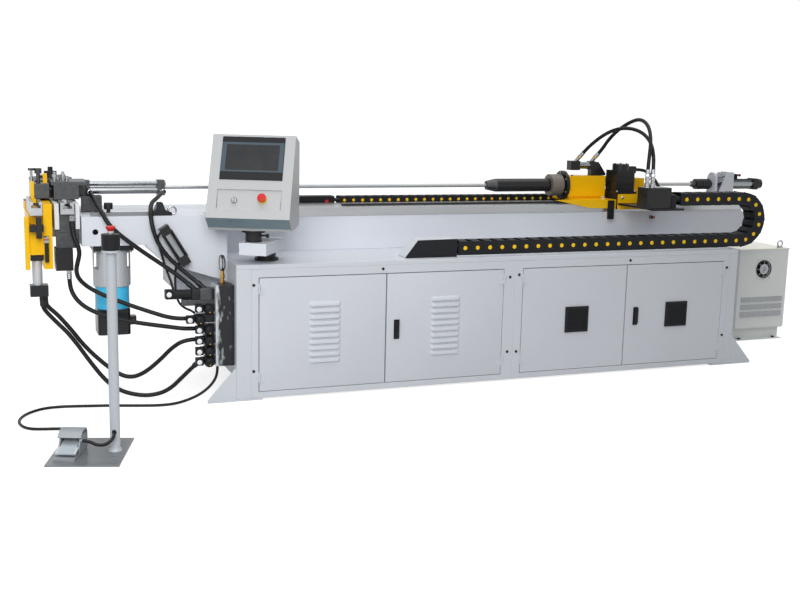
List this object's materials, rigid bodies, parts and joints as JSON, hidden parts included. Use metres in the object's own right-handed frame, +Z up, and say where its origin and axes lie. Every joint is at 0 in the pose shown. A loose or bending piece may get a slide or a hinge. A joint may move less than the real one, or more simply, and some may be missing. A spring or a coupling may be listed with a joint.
{
  "type": "cnc pipe bending machine",
  "caption": "Floor-standing rotary-draw pipe bender: long cabinet with feed carriage on a beam, swing-arm bending head, tilted console, foot-switch stand and a separate transformer.",
  "frame": {"origin": "on the floor, under the middle of the machine, foot-switch stand and transformer together, hoses left out", "axes": "+X along the tube line from the bending head to the feed end, +Y away from the operator, +Z up"},
  "size_m": [4.5418, 1.6759, 1.3394],
  "materials": {
    "grey_paint": "hammered gloss",
    "ground_steel": "ground",
    "tool_steel": "blued",
    "chrome_rod": "polished",
    "yellow_paint": "gloss",
    "black_paint": "satin",
    "black_plastic": "matt",
    "hose_rubber": "satin",
    "console_paint": "satin",
    "motor_blue": "gloss",
    "transformer_paint": "satin",
    "red_plastic": "gloss",
    "switch_metal": "polished"
  },
  "bodies": {
    "machine": {"cabinet_shell": "grey_paint", "front_frames": "grey_paint", "feet": "grey_paint", "power_unit": "grey_paint", "electrical_plate": "grey_paint", "main_beam": "grey_paint", "guide_slab": "ground_steel", "chain_trays": "black_paint", "front_cable_chain": "black_plastic", "rear_cable_chain": "black_plastic", "extractor_bracket": "ground_steel", "extractor_cylinder": "ground_steel", "head_frame": "grey_paint", "bend_gearmotor": "motor_blue", "pressure_guides": "tool_steel", "pressure_cylinder": "black_paint", "assist_cylinder": "chrome_rod", "manifold": "black_paint", "solenoid_valves": "black_paint", "pressure_gauge": "black_paint", "transformer_case": "transformer_paint", "foot_stand": "ground_steel", "stop_cup": "black_plastic", "pedal_housing": "grey_paint", "head_hoses": "hose_rubber", "clamp_hoses": "hose_rubber", "foot_cables": "hose_rubber"},
    "carriage": {"carriage_base": "yellow_paint", "spindle_housing": "ground_steel", "feed_motor": "black_plastic", "junction_box": "black_plastic", "collet_cylinder": "black_paint", "carriage_hoses": "hose_rubber"},
    "chuck": {"chuck": "tool_steel"},
    "pinion": {"feed_pinion": "ground_steel"},
    "mandrel": {"mandrel_rod": "chrome_rod"},
    "swing": {"swing_arm": "yellow_paint", "bend_die": "tool_steel", "clamp_cylinder": "black_paint"},
    "clamp": {"clamp_slide": "tool_steel", "clamp_die": "tool_steel"},
    "lever": {"clamp_lever": "black_paint"},
    "press": {"pressure_slide": "ground_steel", "booster_cylinder": "chrome_rod"},
    "follower": {"pressure_die": "tool_steel"},
    "console_support": {"console_arm": "grey_paint"},
    "console": {"console_case": "console_paint", "touch_screen": "black_plastic"},
    "console_button": {"console_stop": "red_plastic"},
    "key": {"key_switch": "switch_metal"},
    "stand_button": {"stand_stop": "red_plastic"},
    "pedal": {"treadle": "black_plastic"},
    "door_1": {"left_bay_door_left": "grey_paint"},
    "door_2": {"left_bay_door_right": "grey_paint"},
    "door_3": {"right_bay_door_left": "grey_paint"},
    "door_4": {"right_bay_door_right": "grey_paint"},
    "latch_left": {"left_bay_latch": "black_plastic"},
    "latch_right": {"right_bay_latch": "black_plastic"},
    "fan": {"fan_rotor": "black_plastic"}
  },
  "joints": [
    {"name": "carriage_feed", "type": "slide", "parent": "machine", "child": "carriage", "axis": [1, 0, 0], "range_m": [-1.6, 0.05], "deforming": ["front_cable_chain", "rear_cable_chain"]},
    {"name": "chuck_spin", "type": "hinge", "parent": "carriage", "child": "chuck", "pos_m": [0.427, 0.513, 0.957], "axis": [1, 0, 0], "continuous": true},
    {"name": "pinion_spin", "type": "hinge", "parent": "carriage", "child": "pinion", "pos_m": [0.989, 0.43, 0.866], "axis": [0, 0, 1], "range_deg": [-3057, 96]},
    {"name": "mandrel_stroke", "type": "slide", "parent": "machine", "child": "mandrel", "axis": [1, 0, 0], "range_m": [-0.08, 0]},
    {"name": "bend_swing", "type": "hinge", "parent": "machine", "child": "swing", "pos_m": [-2.083, 0.613, 0.957], "axis": [0, 0, -1], "range_deg": [0, 190], "deforming": ["clamp_hoses"]},
    {"name": "clamp_close", "type": "slide", "parent": "swing", "child": "clamp", "axis": [0, 1, 0], "range_m": [-0.045, 0]},
    {"name": "clamp_lever_turn", "type": "hinge", "parent": "swing", "child": "lever", "pos_m": [-2.173, 0.098, 0.812], "axis": [1, 0, 0], "range_deg": [0, 26]},
    {"name": "press_close", "type": "slide", "parent": "machine", "child": "press", "axis": [0, 1, 0], "range_m": [-0.04, 0], "deforming": ["head_hoses"]},
    {"name": "die_follow", "type": "slide", "parent": "press", "child": "follower", "axis": [-1, 0, 0], "range_m": [0, 0.266]},
    {"name": "console_arm_swivel", "type": "hinge", "parent": "machine", "child": "console_support", "pos_m": [-1.148, 0.098, 0.649], "axis": [0, 0, 1], "range_deg": [0, 60]},
    {"name": "console_swivel", "type": "hinge", "parent": "console_support", "child": "console", "pos_m": [-1.23687, -0.00764, 0.7898], "axis": [0, 0, 1], "range_deg": [-25, 10]},
    {"name": "console_stop_press", "type": "slide", "parent": "console", "child": "console_button", "axis": [0.3898, 0.8208, -0.4175], "range_m": [0, 0.005], "stiffness_N_per_m": 1500, "springref_m": -0.004},
    {"name": "key_turn", "type": "hinge", "parent": "console", "child": "key", "pos_m": [-1.33488, -0.03685, 0.94039], "axis": [-0.3898, -0.8208, 0.4175], "range_deg": [0, 90]},
    {"name": "stand_stop_press", "type": "slide", "parent": "machine", "child": "stand_button", "axis": [0, 0, -1], "range_m": [0, 0.005], "stiffness_N_per_m": 1500, "springref_m": -0.004},
    {"name": "treadle_press", "type": "hinge", "parent": "machine", "child": "pedal", "pos_m": [-2.10936, -0.59645, 0.058], "axis": [0.9336, -0.3584, 0], "range_deg": [0, 3.5], "stiffness_Nm_per_rad": 6, "springref_deg": -14.32},
    {"name": "door_1_hinge", "type": "hinge", "parent": "machine", "child": "door_1", "pos_m": [-1.2215, -0.057, 0.31], "axis": [0, 0, -1], "range_deg": [0, 90]},
    {"name": "door_2_hinge", "type": "hinge", "parent": "machine", "child": "door_2", "pos_m": [0.0385, -0.057, 0.31], "axis": [0, 0, 1], "range_deg": [0, 90]},
    {"name": "door_3_hinge", "type": "hinge", "parent": "machine", "child": "door_3", "pos_m": [0.1475, -0.057, 0.31], "axis": [0, 0, -1], "range_deg": [0, 90]},
    {"name": "door_4_hinge", "type": "hinge", "parent": "machine", "child": "door_4", "pos_m": [1.3715, -0.057, 0.31], "axis": [0, 0, 1], "range_deg": [0, 90]},
    {"name": "latch_left_lift", "type": "hinge", "parent": "door_2", "child": "latch_left", "pos_m": [-0.536, -0.0612, 0.266], "axis": [1, 0, 0], "range_deg": [0, 35]},
    {"name": "latch_right_lift", "type": "hinge", "parent": "door_4", "child": "latch_right", "pos_m": [0.825, -0.0612, 0.266], "axis": [1, 0, 0], "range_deg": [0, 35]},
    {"name": "fan_spin", "type": "hinge", "parent": "machine", "child": "fan", "pos_m": [2.057, 0.467, 0.441], "axis": [0, 1, 0], "continuous": true}
  ],
  "couplings": [
    {"joint": "pinion_spin", "follows": "carriage_feed", "rad_per_m": 33.333},
    {"joint": "clamp_lever_turn", "follows": "clamp_close", "rad_per_m": -9.7},
    {"joint": "die_follow", "follows": "bend_swing", "m_per_rad": 0.08}
  ]
}
